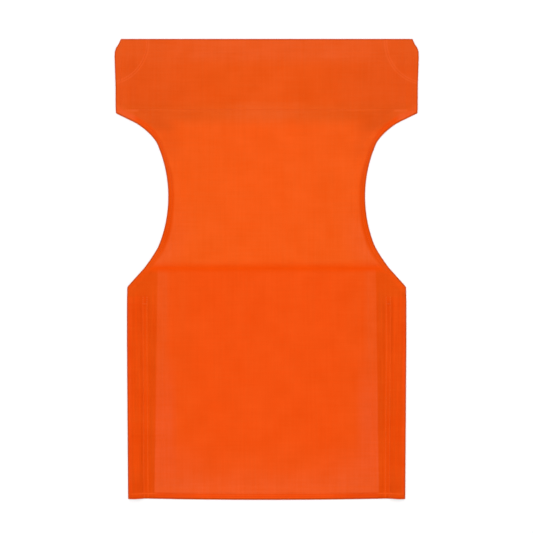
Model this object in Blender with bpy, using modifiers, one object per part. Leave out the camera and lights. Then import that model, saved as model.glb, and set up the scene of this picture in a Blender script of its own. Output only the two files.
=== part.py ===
"""One-piece cloth cover for a folding director's chair, lying flat and face up.

The cover is one length of canvas. Its upper end is a hood, a pocket that drops over the two back
posts. Two curved cut-outs leave room for the arms. Each side of the seat is folded under and sewn
into a sleeve for a seat rail. The seat folds up over the back along the crease at mid length.

Units are metres, +Z is up and +Y runs from the seat's front edge to the top of the hood. The origin
is on the floor below the middle of the cover. Left is -X.
"""
import math

import bmesh
import bpy

# Cloth
CLOTH = 0.0007
GAP = 0.0003
HEM = 2 * CLOTH
THREAD = 0.0006

# Places along the cover, from its middle
TOP = 0.4126
CREASE = 0.0034
FRONT_CORNER = -0.4095
FRONT_SAG = 0.0031

# Widest half widths of the seat, and of its front edge
SEAT_HALF = 0.2500
FRONT_HALF = 0.2479

# Half widths of the outline, with their places along the cover
TOP_CORNER = (0.2609, TOP)
HOOD_SIDES = [(0.2649, 0.4037), (0.2697, 0.3966), (0.2718, 0.3900), (0.2722, 0.3798)]
HOOD_SIDES += [(0.2704, 0.3273), (0.2703, 0.2903)]
HOOD_CORNER = (0.2698, 0.2799)
WAIST_START = (0.2463, 0.2684)
WAIST_KINK = (0.1972, 0.2283)
WAIST = (0.1762, 0.1200)
WAIST_END = (0.1939, 0.0405)
LOWER_END = (0.2200, 0.0012)
SEAT_CORNER = (0.2493, -0.0313)
SEAT_SIDES = [(SEAT_HALF, -0.0600), (SEAT_HALF, -0.1320), (0.2482, -0.3770), (FRONT_HALF, FRONT_CORNER)]

# Points that the cut-out's two end curves pass through
UPPER_BEND = (0.2151, 0.2485)
LOWER_BEND = (0.2078, 0.0179)

# Hood: how high its front stands, where its mouth is, and how its edges turn down
HOOD_RISE = 0.0077
HOOD_MOUTH = 0.2680
MOUTH_HEM_TOP = 0.2860
MOUTH_STITCH_HALF = 0.2410
MOUTH_FADE = (0.1900, 0.2500)
EDGE_FADE = (0.0120, 0.0420)
MOUTH_STEP = 0.0060
TOP_ROLL = 0.0150
SIDE_SEAM = 0.0125
SIDE_SEAM_ENDS = (0.2815, 0.3860)
SIDE_STITCH_ENDS = (0.2840, 0.3800)
SIDE_STITCH = 0.0095
PATCH_CENTRE = (0.2860, 0.4060)
PATCH_RADIUS = 0.0740
PATCH_ENDS = (0.3430, 0.4040)
PATCH_STITCH_RADIUS = 0.0715
PATCH_STITCH_TURNS = (math.radians(179), math.radians(248))
PATCH_DROP = 0.0006

# Seat: its turned-under sides, and the sleeves' stitch rows, are measured in from the edge
SLEEVE_DEPTH = 0.0517
SLEEVE_EDGES = (0.1962, 0.2012)
SLEEVE_ROWS = (0.0285, 0.0356)
SLEEVE_RISE = 0.0060
SLEEVE_END = -0.0490
TACK_END = -0.0625
SLEEVE_MOUTH = -0.0450
SLEEVE_FULL = -0.0750
FRONT_HEM = 0.0090
FRONT_HEM_FADE = (-0.3860, -0.4000)
FRONT_HEM_ROW = -0.4015
FRONT_STITCH_HALF = 0.2280

# Hems along the cut-outs, and how the cloth drops to the floor beside them
WAIST_HEM = 0.0080
WAIST_STITCH = 0.0065
WAIST_HEM_TOP = HOOD_MOUTH - 0.0080
HEM_DROP = (0.0110, 0.0250)

# A layer underneath is cut a little narrower than the one that covers it
TUCK = 0.0004

# Rows of the two panels' meshes along the cover, from the crease out
BACK_ROWS = [0.014, 0.025, 0.038, 0.055, 0.075, 0.100, 0.125, 0.150, 0.175, 0.190, 0.202, 0.214]
BACK_ROWS += [0.226, 0.233, 0.240, 0.248, 0.255, 0.2615, 0.268, 0.274, 0.2802, 0.2915, 0.320]
BACK_ROWS += [0.350, 0.380, 0.3904, 0.398, 0.403, 0.407, 0.410, 0.4114, TOP - CLOTH]
SEAT_ROWS = [-0.008, -0.020, -0.0324, -0.044, -0.053, -0.060, -0.068, SLEEVE_FULL, -0.132, -0.250]
SEAT_ROWS += [-0.377, -0.386, -0.393, -0.400, FRONT_CORNER]

# Columns of the two panels' meshes, in from the edge and then as shares of what is left
BACK_INSETS = [0.0, 0.0035, 0.007, 0.0105, 0.014, 0.018, 0.0235, 0.029, 0.0345, 0.040, 0.046]
SEAT_INSETS = [0.0008, 0.0018, 0.0035, 0.006, 0.010, 0.0150, 0.0195, 0.0225, 0.0254, SLEEVE_ROWS[0]]
SEAT_INSETS += [SLEEVE_ROWS[1], 0.043, SLEEVE_DEPTH, 0.060, 0.067]
MIDDLE_SHARES = (0.66, 0.33)

# The fold at the crease turns about a line just above the hems
FOLD_AXIS_HEIGHT = 0.0036

parts = bpy.data.collections.new("directors_chair_cover")


def clear_scene():
    for item in list(bpy.data.objects):
        bpy.data.objects.remove(item, do_unlink=True)


def smooth(value, start=0.0, end=1.0):
    """Rises from 0 at start to 1 at end, with level ends."""
    share = min(max((value - start) / (end - start), 0.0), 1.0)
    return share * share * (3 - 2 * share)


def arc(start, middle, end, steps):
    """Points after start on the circular arc through three points."""
    (ax, ay), (bx, by), (cx, cy) = start, middle, end
    turn = 2 * (ax * (by - cy) + bx * (cy - ay) + cx * (ay - by))
    a2, b2, c2 = ax * ax + ay * ay, bx * bx + by * by, cx * cx + cy * cy
    centre_x = (a2 * (by - cy) + b2 * (cy - ay) + c2 * (ay - by)) / turn
    centre_y = (a2 * (cx - bx) + b2 * (ax - cx) + c2 * (bx - ax)) / turn
    radius = math.hypot(ax - centre_x, ay - centre_y)
    first = math.atan2(ay - centre_y, ax - centre_x)
    last = math.atan2(cy - centre_y, cx - centre_x)
    sweep = math.remainder(last - first, 2 * math.pi)
    angles = [first + sweep * step / steps for step in range(1, steps + 1)]
    return [(centre_x + radius * math.cos(t), centre_y + radius * math.sin(t)) for t in angles]


def waist_edge():
    """The curved cut-out, from the hood's lower corner down to the seat's upper corner."""
    edge = [HOOD_CORNER, WAIST_START]
    edge += arc(WAIST_START, UPPER_BEND, WAIST_KINK, 6)
    edge += arc(WAIST_KINK, WAIST, WAIST_END, 16)
    return edge + arc(WAIST_END, LOWER_BEND, LOWER_END, 4) + [SEAT_CORNER]


WAIST_EDGE = waist_edge()
HOOD_AND_WAIST = [TOP_CORNER] + HOOD_SIDES + WAIST_EDGE
OUTLINE = HOOD_AND_WAIST + SEAT_SIDES


def half_width(y):
    """Half the cover's width at y."""
    for (x0, y0), (x1, y1) in zip(OUTLINE, OUTLINE[1:]):
        if y >= y1:
            return x1 + (x0 - x1) * min((y - y1) / (y0 - y1), 1.0)
    return OUTLINE[-1][0]


def edge_distance(x, y, edge):
    """The distance from a point to a line of points on the right-hand side."""
    nearest = 1.0
    for (x0, y0), (x1, y1) in zip(edge, edge[1:]):
        run_x, run_y = x1 - x0, y1 - y0
        along = ((abs(x) - x0) * run_x + (y - y0) * run_y) / (run_x * run_x + run_y * run_y)
        along = min(max(along, 0.0), 1.0)
        nearest = min(nearest, math.hypot(abs(x) - x0 - along * run_x, y - y0 - along * run_y))
    return nearest


def over_hem(distance, height):
    """Height of the cloth where it lies over a hem along its edge and drops to the floor beside it."""
    return height * smooth(distance, HEM_DROP[1], HEM_DROP[0])


def back_height(x, y):
    """Underside of the back's cloth: flat at the waist, raised over the hood's pocket."""
    level = over_hem(edge_distance(x, y, WAIST_EDGE), HEM + GAP)
    if y > MOUTH_FADE[0]:
        fade = smooth(y, *MOUTH_FADE) * smooth(edge_distance(x, y, HOOD_AND_WAIST), *EDGE_FADE)
        level = max(level, HOOD_RISE * fade)
    if y > HOOD_MOUTH - MOUTH_STEP:
        level = max(level, 2 * (CLOTH + GAP))
    if y > TOP - TOP_ROLL:
        share = (y - TOP + TOP_ROLL) / (TOP_ROLL - CLOTH)
        roll = math.sqrt(max(1 - share ** 2, 0.0))
        level = min(level, CLOTH + GAP + (HOOD_RISE - CLOTH - GAP) * roll)
    return level


def seat_height(x, y):
    """Underside of the seat's cloth: flat, raised over the sleeves, the sleeves' rails and the hems."""
    inset = half_width(y) - abs(x)
    edge = sleeve_edge(y)
    level = (CLOTH + GAP) * smooth(abs(x), edge - 0.0163, edge - 0.0023)
    level = max(level, over_hem(edge_distance(x, y, WAIST_EDGE), HEM + GAP))
    level = max(level, (HEM + GAP) * smooth(y, *FRONT_HEM_FADE))
    if inset < SLEEVE_ROWS[0]:
        from_middle = abs(1 - 2 * inset / SLEEVE_ROWS[0])
        crown = (1 - min(from_middle ** 2.2, 1.0)) ** 0.7
        fade = smooth(y, SLEEVE_MOUTH, SLEEVE_FULL)
        level = max(level, CLOTH + GAP + SLEEVE_RISE * crown * fade)
    return level


def sleeve_edge(y):
    """Half width between the sleeves' inner edges, which draw apart towards the front."""
    share = min(max((SLEEVE_END - y) / (SLEEVE_END - FRONT_CORNER), 0.0), 1.0)
    return SLEEVE_EDGES[0] + (SLEEVE_EDGES[1] - SLEEVE_EDGES[0]) * share


def front_edge(x):
    """The seat's front edge, which sags a little between its corners."""
    return FRONT_CORNER - FRONT_SAG * (1 - min(abs(x) / FRONT_HALF, 1.0) ** 2)


def across(y, insets):
    """Places across one row: set in from both edges, then shared out towards the middle."""
    edge = half_width(y)
    half = [edge - inset for inset in insets]
    half += [half[-1] * share for share in MIDDLE_SHARES]
    return [-x for x in half] + [0.0] + half[::-1]


def linear(red, green, blue):
    """A display colour, 0 to 255, as the linear values that a shader takes."""
    shares = [value / 255 for value in (red, green, blue)]
    return [s / 12.92 if s <= 0.04045 else ((s + 0.055) / 1.055) ** 2.4 for s in shares] + [1.0]


def finish(item, colour, roughness):
    """Puts a piece in the cover's collection with a material of its own."""
    material = bpy.data.materials.new(item.name)
    material.use_nodes = True
    shader = material.node_tree.nodes["Principled BSDF"]
    shader.inputs["Base Color"].default_value = linear(*colour)
    shader.inputs["Roughness"].default_value = roughness
    shader.inputs["Metallic"].default_value = 0.0
    item.data.materials.append(material)
    parts.objects.link(item)
    return item


def cloth(name, rows, colour, thickness=CLOTH, roughness=0.62):
    """A piece of cloth: a grid whose rows of points are its underside, thickened upward."""
    mesh = bpy.data.meshes.new(name)
    grid = bmesh.new()
    wide, long = len(rows[0]), len(rows)
    bmesh.ops.create_grid(grid, x_segments=wide - 1, y_segments=long - 1, size=0.5)
    for vertex in grid.verts:
        column = round((vertex.co.x + 0.5) * (wide - 1))
        row = round((vertex.co.y + 0.5) * (long - 1))
        vertex.co = rows[row][column]
    grid.to_mesh(mesh)
    grid.free()
    item = bpy.data.objects.new(name, mesh)
    solid = item.modifiers.new("Thickness", "SOLIDIFY")
    solid.thickness = thickness
    solid.offset = 1.0
    solid.use_even_offset = True
    return finish(item, colour, roughness)


def stitching(name, points, colour=(246, 100, 40)):
    """A row of stitching as one line of thread, lying on the cloth along its points."""
    curve = bpy.data.curves.new(name, "CURVE")
    curve.dimensions = "3D"
    curve.bevel_depth = THREAD / 2
    curve.bevel_resolution = 1
    curve.use_fill_caps = True
    spline = curve.splines.new("POLY")
    spline.points.add(len(points) - 1)
    for point, (x, y, z) in zip(spline.points, points):
        point.co = (x, y, z + THREAD / 2, 1.0)
    return finish(bpy.data.objects.new(name, curve), colour, 0.45)


def on_cloth(height, x, y):
    """A point just clear of the top of the cloth."""
    return (x, y, height(x, y) + CLOTH + 1.5 * GAP)


def steps(start, end, count):
    """count + 1 even values from start to end."""
    return [start + (end - start) * step / count for step in range(count + 1)]


def inward(edge, distance):
    """A line of points on the right-hand side, moved inward off the edge."""
    moved = []
    for place, (x, y) in enumerate(edge):
        x0, y0 = edge[max(place - 1, 0)]
        x1, y1 = edge[min(place + 1, len(edge) - 1)]
        run = math.hypot(x1 - x0, y1 - y0)
        moved.append((x + distance * (y1 - y0) / run, y - distance * (x1 - x0) / run))
    return moved


def cut_between(edge, low, high):
    """The stretch of an edge between two heights, with its ends on them."""
    kept = []
    for (x0, y0), (x1, y1) in zip(edge, edge[1:]):
        for limit in (high, low):
            if y0 > limit > y1:
                kept.append((x1 + (x0 - x1) * (limit - y1) / (y0 - y1), limit))
        if low <= y1 <= high:
            kept.append((x1, y1))
    return sorted(set(kept), key=lambda point: -point[1])


def back_panel():
    """The waist and the front of the hood."""
    rows = []
    for y in [CREASE + GAP / 2] + BACK_ROWS:
        rows.append([(x, y, back_height(x, y)) for x in across(y, BACK_INSETS)])
    cloth("back_panel", rows, (245, 90, 24))


def hood_rear_panel():
    """The back of the hood, folded down behind it from the top edge."""
    rows = []
    for y in (HOOD_MOUTH, 0.2745, 0.2802, 0.305, 0.380, 0.3904, 0.400, TOP - CLOTH):
        edge = half_width(y) - TUCK
        rows.append([(x, y, 0.0) for x in (-edge, 0.0, edge)])
    cloth("hood_rear_panel", rows, (234, 86, 24))


def hood_mouth_hem():
    """The rear panel's lower edge, turned up inside the hood."""
    low, high = HOOD_MOUTH + TUCK, MOUTH_HEM_TOP
    half = half_width(low) - SIDE_SEAM
    rows = [[(x, y, CLOTH + GAP) for x in (-half, 0.0, half)] for y in (low, high)]
    cloth("hood_mouth_hem", rows, (232, 85, 25))


def hood_side_seam(name, side):
    """The seam allowance inside the hood's side."""
    rows = []
    for y in steps(*SIDE_SEAM_ENDS, 3):
        edge = half_width(y) - 2 * TUCK
        places = sorted((side * (edge - SIDE_SEAM), side * edge))
        rows.append([(x, y, CLOTH + GAP) for x in places])
    cloth(name, rows, (231, 84, 26))


def corner_patch(name, side):
    """A quarter-round reinforcement inside the hood, under the front cloth."""
    centre_x, centre_y = PATCH_CENTRE
    rows = []
    for y in steps(*PATCH_ENDS, 7):
        inner = centre_x - math.sqrt(PATCH_RADIUS ** 2 - (centre_y - y) ** 2)
        outer = half_width(y) - SIDE_SEAM - 4 * TUCK
        places = sorted(side * x for x in steps(inner, outer, 9))
        rows.append([(x, y, back_height(x, y) - PATCH_DROP - CLOTH) for x in places])
    cloth(name, rows, (230, 84, 25))


def waist_hem(name, side, low, high):
    """The narrow hem turned under along the cut-out, as two layers under the cloth's edge."""
    edge = cut_between(WAIST_EDGE, low, high)
    outer, inner = inward(edge, TUCK), inward(edge, WAIST_HEM)
    crease_end = 0 if high < CREASE else -1
    for line in (outer, inner):
        line[crease_end] = (line[crease_end][0], edge[crease_end][1])
    rows = []
    for (x0, y0), (x1, y1) in reversed(list(zip(outer, inner))):
        rows.append(sorted([(side * x0, y0, 0.0), (side * x1, y1, 0.0)]))
    cloth(name, rows, (231, 66, 10), thickness=HEM)


def waist_stitching(name, side, low, high, height):
    line = [point for point in inward(WAIST_EDGE, WAIST_STITCH) if low < point[1] < high]
    stitching(name, [on_cloth(height, side * x, y) for x, y in line])


def seat_panel():
    """The seat, from its front edge to the crease, with the tops of both sleeves."""
    rows = []
    for y in SEAT_ROWS[::-1] + [CREASE - GAP / 2]:
        row = []
        for x in across(y, SEAT_INSETS):
            sag = front_edge(x) - FRONT_CORNER if y == FRONT_CORNER else 0.0
            row.append((x, y + sag, seat_height(x, y)))
        rows.append(row)
    cloth("seat_panel", rows, (243, 82, 18))


def rail_sleeve(name, side):
    """The edge of the seat cloth turned under, which closes the sleeve from below."""
    slope = inward(WAIST_EDGE, WAIST_HEM + 5 * TUCK)
    rows = []
    for y in (FRONT_CORNER, -0.377, -0.132, -0.060, -0.047, -0.034, -0.020, -0.010):
        outer = half_width(y) - 0.0010
        for (x0, y0), (x1, y1) in zip(slope, slope[1:]):
            if y0 >= y > y1:
                outer = x1 + (x0 - x1) * (y - y1) / (y0 - y1)
        if -0.047 < y <= -0.034:
            outer = slope[-1][0] - (y - slope[-1][1]) / 2
        places = sorted(side * x for x in steps(sleeve_edge(y), outer, 4))
        rows.append([(x, y, 0.0) for x in places])
    cloth(name, rows, (229, 77, 12))


def front_hem():
    """The seat's front edge, turned under twice between the sleeves."""
    half = sleeve_edge(FRONT_CORNER + FRONT_HEM) - 3 * TUCK
    rows = []
    for inset in (TUCK, FRONT_HEM):
        rows.append([(x, front_edge(x) + inset, 0.0) for x in steps(-half, half, 12)])
    cloth("front_hem", rows, (239, 79, 15), thickness=HEM)


def sleeve_stitching(name, side, row):
    """One of the two rows that close the sleeve, from its mouth to its tack."""
    ys = [FRONT_HEM_ROW + 2 * THREAD] + [y for y in SEAT_ROWS[::-1] if -0.395 < y < TACK_END]
    points = [(side * (half_width(y) - row), y) for y in ys]
    points.append((points[-1][0], TACK_END - THREAD))
    stitching(name, [on_cloth(seat_height, x, y) for x, y in points], (240, 88, 22))


def bar_tack(name, side):
    """The boxed tack between the two sleeve rows, which locks them at their end."""
    outer, inner = (SEAT_HALF - row for row in SLEEVE_ROWS)
    xs = sorted(side * x for x in steps(inner, outer, 2))
    rows = []
    for y in steps(TACK_END, SLEEVE_END, 3):
        rows.append([on_cloth(seat_height, x, y) for x in xs])
    cloth(name, rows, (241, 90, 24), thickness=THREAD, roughness=0.45)


def corner_stitching(name, side):
    """The arc of stitching that holds the corner patch."""
    centre_x, centre_y = PATCH_CENTRE
    points = []
    for turn in steps(*PATCH_STITCH_TURNS, 14):
        x = centre_x + PATCH_STITCH_RADIUS * math.cos(turn)
        y = centre_y + PATCH_STITCH_RADIUS * math.sin(turn)
        points.append((side * x, y))
    stitching(name, [on_cloth(back_height, x, y) for x, y in points])


def side_seam_stitching(name, side):
    ys = [SIDE_STITCH_ENDS[0], 0.305, 0.345, SIDE_STITCH_ENDS[1]]
    points = [(side * (half_width(y) - SIDE_STITCH), y) for y in ys]
    stitching(name, [on_cloth(back_height, x, y) for x, y in points], (238, 92, 30))


def back_body():
    """Everything above the crease."""
    back_panel()
    hood_rear_panel()
    hood_mouth_hem()
    low = CREASE + GAP / 2
    for word, side in (("left", -1), ("right", 1)):
        hood_side_seam(word + "_hood_side_seam", side)
        corner_patch(word + "_corner_patch", side)
        waist_hem(word + "_waist_hem", side, low, WAIST_HEM_TOP)
        waist_stitching(word + "_waist_hem_stitching", side, low, WAIST_HEM_TOP, back_height)
        corner_stitching(word + "_corner_patch_stitching", side)
        side_seam_stitching(word + "_side_seam_stitching", side)
    xs = steps(-MOUTH_STITCH_HALF, MOUTH_STITCH_HALF, 24)
    stitching("hood_mouth_stitching", [on_cloth(back_height, x, MOUTH_HEM_TOP) for x in xs])


def seat_body():
    """Everything below the crease, which moves with the fold."""
    seat_panel()
    front_hem()
    low, high = SEAT_CORNER[1] + TUCK, CREASE - GAP / 2
    for word, side in (("left", -1), ("right", 1)):
        rail_sleeve(word + "_rail_sleeve", side)
        waist_hem(word + "_seat_corner_hem", side, low, high)
        waist_stitching(word + "_seat_corner_stitching", side, low - WAIST_STITCH, high, seat_height)
        for number, row in zip(("outer", "inner"), SLEEVE_ROWS):
            sleeve_stitching("_".join((word, "sleeve", number, "stitching")), side, row)
        bar_tack(word + "_sleeve_bar_tack", side)
    xs = steps(-FRONT_STITCH_HALF, FRONT_STITCH_HALF, 24)
    stitching("front_hem_stitching", [on_cloth(seat_height, x, FRONT_HEM_ROW) for x in xs])


def fold_axis():
    """The line that the seat folds about, as an empty that the seat's pieces hang from."""
    axis = bpy.data.objects.new("seat_fold_axis", None)
    axis.location = (0.0, CREASE, FOLD_AXIS_HEIGHT)
    parts.objects.link(axis)
    return axis


def main():
    clear_scene()
    bpy.context.scene.collection.children.link(parts)
    back_body()
    fixed = set(parts.objects)
    seat_body()
    moving = [item for item in parts.objects if item not in fixed]
    axis = fold_axis()
    bpy.context.view_layer.update()
    for item in moving:
        item.parent = axis
        item.matrix_parent_inverse = axis.matrix_world.inverted()


main()
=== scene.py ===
"""The looks of the folding director's chair cover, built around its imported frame.

The cover lies flat and face up. One fine sheet stands for its whole face and bends across the
fold at mid length. The layers under it (the hood's back, the hems, the patches and the turned-under
sides of the seat) are sheets of their own, and every row of stitching is made stitch by stitch.

Lengths are metres. +Y runs from the seat's front edge to the top of the hood, +Z is up.
"""
import math

import bpy
import numpy as np
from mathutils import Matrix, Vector, noise
from mathutils.bvhtree import BVHTree

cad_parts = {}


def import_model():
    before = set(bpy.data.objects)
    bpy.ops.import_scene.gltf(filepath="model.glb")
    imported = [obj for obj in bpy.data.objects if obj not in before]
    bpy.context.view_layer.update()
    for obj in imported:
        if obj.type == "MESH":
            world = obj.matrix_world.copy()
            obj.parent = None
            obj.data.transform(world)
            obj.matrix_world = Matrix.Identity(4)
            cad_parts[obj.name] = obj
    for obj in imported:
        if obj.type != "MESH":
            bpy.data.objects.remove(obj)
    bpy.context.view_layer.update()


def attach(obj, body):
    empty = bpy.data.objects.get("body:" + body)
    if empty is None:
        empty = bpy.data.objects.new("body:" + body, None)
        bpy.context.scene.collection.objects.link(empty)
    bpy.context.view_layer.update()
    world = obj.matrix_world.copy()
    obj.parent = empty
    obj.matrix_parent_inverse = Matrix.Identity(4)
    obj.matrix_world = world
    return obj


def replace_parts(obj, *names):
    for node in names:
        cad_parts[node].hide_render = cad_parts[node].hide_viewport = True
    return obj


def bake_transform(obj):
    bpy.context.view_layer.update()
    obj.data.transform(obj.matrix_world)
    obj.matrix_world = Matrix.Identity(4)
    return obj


# Cloth
CLOTH = 0.0007
GAP = 0.0003
LAYER = CLOTH + GAP
HEM_STACK = 2 * CLOTH + GAP
EDGE_ROLL = 0.0012
WEAVE_PITCH = 0.0011
SHARP_ANGLE = 55

# Places along the cover
TOP = 0.4126
CREASE = 0.0034
FRONT_CORNER = -0.4095
FRONT_SAG = 0.0031
SLEEVE_SAG = 0.0016
FRONT_HALF = 0.2479

# Hood
HOOD_RISE = 0.0045
HOOD_MOUTH = 0.268
MOUTH_HEM_TOP = 0.286
MOUTH_FADE = (0.185, 0.26)
EDGE_FADE = (0.006, 0.044)
TOP_ROLL = 0.015
SIDE_SEAM = 0.0125
PATCH_CENTRE = (0.286, 0.406)
PATCH_RADIUS = 0.074
PATCH_STITCH_RADIUS = 0.0715
PATCH_RIDGES = (0.0708, 0.0748)

# Seat
SLEEVE_EDGES = (0.1962, 0.2012)
SLEEVE_ROWS = (0.0285, 0.0356)
SLEEVE_RISE = 0.0034
SLEEVE_END = -0.049
SLEEVE_MOUTH = -0.045
SLEEVE_FULL = -0.075
TACK_END = -0.0625
FRONT_HEM = 0.009
FRONT_HEM_ROW = -0.4015
WAIST_HEM = 0.008
WAIST_HEM_TOP = 0.26
WAIST_STITCH = 0.0065

# How round a hem's two edges are, as a share of its width, and how uneven its top is
HEM_ROUND = 0.045
HEM_WAVE = 0.00008

# The stretch of cloth that bends at the fold, either side of its line
FOLD_REACH = 0.006

# How the cloth lies: heights, and the places or distances between which they fade in
HEM_DROP = (0.024, 0.009)
HOOD_WAVE = 0.0011
MOUTH_STEP = (0.01, 0.001)
SLEEVE_ARCH = (2.4, 0.8)
SLEEVE_WAVE = 0.0009
OPEN_END_FADE = 0.005
ALLOWANCE_FADE = (-0.016, -0.001)
ALLOWANCE_TOP = (0.02, 0.0)
FRONT_HEM_FADE = (-0.386, -0.4)
SWELL = 0.00055
SMALL_SWELL = 0.00022
SWELL_FADE = (0.008, 0.045)
FOLD_RISE = 0.0005
FOLD_SPREAD = 0.042
FOLD_WIDTH = 0.0048
FOLD_FLAT = 0.02
FOLD_ENDS = (0.215, 0.185)
GATHER = 0.00022
GATHER_OUTER = (0.001, 0.006)
GATHER_INNER = (0.052, 0.044)

# Puckers beside the stitches
PUCKER_DEPTH = 0.00035
MOUTH_PUCKER_DEPTH = 0.00008
PUCKER_REACH = 0.0014
RIPPLE = 0.0003
RIPPLE_REACH = 0.009
RIPPLE_LENGTH = 0.0085
MOUTH_PUCKERS_FROM = 0.24
PATCH_PUCKERS_FROM = 0.3

# How fast the sleeves' inner edges draw apart towards the front
SLEEVE_SPREAD = (SLEEVE_EDGES[1] - SLEEVE_EDGES[0]) / (SLEEVE_END - FRONT_CORNER)

# Stitches
THREAD = 0.0007
STITCH = 0.0029
STITCH_PITCH = 0.0036
STITCH_SIDES = 6
STITCH_RINGS = (0.0, 0.1, 0.32, 0.68, 0.9, 1.0)
ARM_STITCH_SPAN = (-0.031, 0.264)
SIDE_STITCH_SPAN = (0.284, 0.38)
MOUTH_STITCH_HALF = 0.252
MOUTH_TACK_START = 0.233
MOUTH_TACK_STEP = 0.0011
FRONT_STITCH_HALF = 0.228
TACK_ROWS = 3
TACK_STEP = 0.0008


# ---------------------------------------------------------------- outline

def arc(start, middle, end, steps):
    """Points after start on the circular arc through three points."""
    (ax, ay), (bx, by), (cx, cy) = start, middle, end
    turn = 2 * (ax * (by - cy) + bx * (cy - ay) + cx * (ay - by))
    a2, b2, c2 = ax * ax + ay * ay, bx * bx + by * by, cx * cx + cy * cy
    centre_x = (a2 * (by - cy) + b2 * (cy - ay) + c2 * (ay - by)) / turn
    centre_y = (a2 * (cx - bx) + b2 * (ax - cx) + c2 * (bx - ax)) / turn
    radius = math.hypot(ax - centre_x, ay - centre_y)
    first = math.atan2(ay - centre_y, ax - centre_x)
    last = math.atan2(cy - centre_y, cx - centre_x)
    sweep = math.remainder(last - first, 2 * math.pi)
    angles = [first + sweep * step / steps for step in range(1, steps + 1)]
    return [(centre_x + radius * math.cos(t), centre_y + radius * math.sin(t)) for t in angles]


def waist_edge():
    """The curved cut-out, from the hood's lower corner down to the seat's upper corner."""
    edge = [(0.2698, 0.2799), (0.2463, 0.2684)]
    edge += arc(edge[-1], (0.2151, 0.2485), (0.1972, 0.2283), 12)
    edge += arc(edge[-1], (0.1762, 0.12), (0.1939, 0.0405), 40)
    edge += arc(edge[-1], (0.2078, 0.0179), (0.22, 0.0012), 8)
    return edge + [(0.2493, -0.0313)]


WAIST_EDGE = np.array(waist_edge())
HOOD_EDGE = np.array([
    (0.2609, TOP), (0.2649, 0.4037), (0.2697, 0.3966), (0.2718, 0.39), (0.2722, 0.3798),
    (0.2704, 0.3273), (0.2703, 0.2903),
])
SEAT_EDGE = np.array([(0.25, -0.06), (0.25, -0.132), (0.2482, -0.377), (FRONT_HALF, FRONT_CORNER)])
SIDE = np.concatenate([HOOD_EDGE, WAIST_EDGE, SEAT_EDGE])
TOP_LINE = np.array([(0.0, TOP), (0.2609, TOP)])


def half_width(y):
    """Half the cover's width at y."""
    return np.interp(y, SIDE[::-1, 1], SIDE[::-1, 0])


def front_edge(x):
    """The seat's front edge, which sags a little between its corners and under each sleeve."""
    aside = np.minimum(np.abs(x) / FRONT_HALF, 1.0)
    return FRONT_CORNER - FRONT_SAG * (1 - aside ** 2) - SLEEVE_SAG * smooth(aside, 0.86, 0.98)


def edge_distance(x, y, edge):
    """The distance from points to a line of points on the right-hand side."""
    x = np.abs(x)
    nearest = np.full(np.shape(x), 1.0)
    for (x0, y0), (x1, y1) in zip(edge, edge[1:]):
        run_x, run_y = x1 - x0, y1 - y0
        along = ((x - x0) * run_x + (y - y0) * run_y) / (run_x * run_x + run_y * run_y)
        along = np.clip(along, 0.0, 1.0)
        nearest = np.minimum(nearest, np.hypot(x - x0 - along * run_x, y - y0 - along * run_y))
    return nearest


def sleeve_edge(y):
    """Half width between the sleeves' inner edges, which draw apart towards the front."""
    share = np.clip((SLEEVE_END - y) / (SLEEVE_END - FRONT_CORNER), 0.0, 1.0)
    return SLEEVE_EDGES[0] + (SLEEVE_EDGES[1] - SLEEVE_EDGES[0]) * share


def rim_distance(x, y):
    """The distance from points to the cover's nearest edge."""
    distance = np.minimum(edge_distance(x, y, SIDE), edge_distance(x, y, TOP_LINE))
    return np.minimum(distance, np.maximum(y - front_edge(x), 0.0))


def smooth(value, start, end):
    """Rises from 0 at start to 1 at end, with level ends."""
    share = np.clip((value - start) / (end - start), 0.0, 1.0)
    return share * share * (3 - 2 * share)


def inward(edge, distance):
    """A line of points on the right-hand side, moved inward off the edge."""
    run = np.gradient(edge, axis=0)
    run /= np.linalg.norm(run, axis=1)[:, None]
    return edge + distance * np.stack([run[:, 1], -run[:, 0]], axis=1)


def resample(line, spacing):
    """The same line with its points evenly apart."""
    steps = np.linalg.norm(np.diff(line, axis=0), axis=1)
    along = np.concatenate([[0.0], np.cumsum(steps)])
    places = np.linspace(0.0, along[-1], max(2, round(along[-1] / spacing) + 1))
    return np.stack([np.interp(places, along, line[:, axis]) for axis in range(line.shape[1])], axis=1)


# ---------------------------------------------------------------- shape of the cloth

def waves(x, y, size_x, size_y, seed):
    """Soft random waves between -1 and 1, size_x and size_y across."""
    flat = zip(np.ravel(x), np.ravel(y))
    values = [noise.noise(Vector((a / size_x, b / size_y, seed))) for a, b in flat]
    return np.reshape(values, np.shape(x))


def over_hem(distance):
    """Height of the cloth where it lies over a hem along its edge and drops to the floor beside it."""
    return HEM_STACK * smooth(distance, *HEM_DROP)


def hood_height(x, y, distance):
    """The front of the hood: raised over the pocket, rolled down to its top and side edges."""
    rise = HOOD_RISE + HOOD_WAVE * waves(x, y, 0.085, 0.04, seed=3.7)
    level = rise * smooth(y, *MOUTH_FADE) * smooth(distance, *EDGE_FADE)
    step = smooth(y, HOOD_MOUTH - MOUTH_STEP[0], HOOD_MOUTH - MOUTH_STEP[1])
    level = np.maximum(level, 2 * LAYER * step)
    share = np.clip((y - TOP + TOP_ROLL) / TOP_ROLL, 0.0, 1.0)
    roll = np.sqrt(1 - share ** 2)
    return np.where(share > 0, LAYER + (level - LAYER) * roll, level)


def sleeve_height(x, y):
    """The top of a rail sleeve: a soft arch between its outer row of stitches and the edge."""
    inset = half_width(y) - np.abs(x)
    from_middle = np.abs(1 - 2 * np.clip(inset / SLEEVE_ROWS[0], 0.0, 1.0))
    crown = (1 - from_middle ** SLEEVE_ARCH[0]) ** SLEEVE_ARCH[1]
    rise = SLEEVE_RISE + SLEEVE_WAVE * waves(x, y, 0.03, 0.11, seed=8.1)
    return LAYER + rise * crown * smooth(y, SLEEVE_MOUTH, SLEEVE_FULL)


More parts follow.
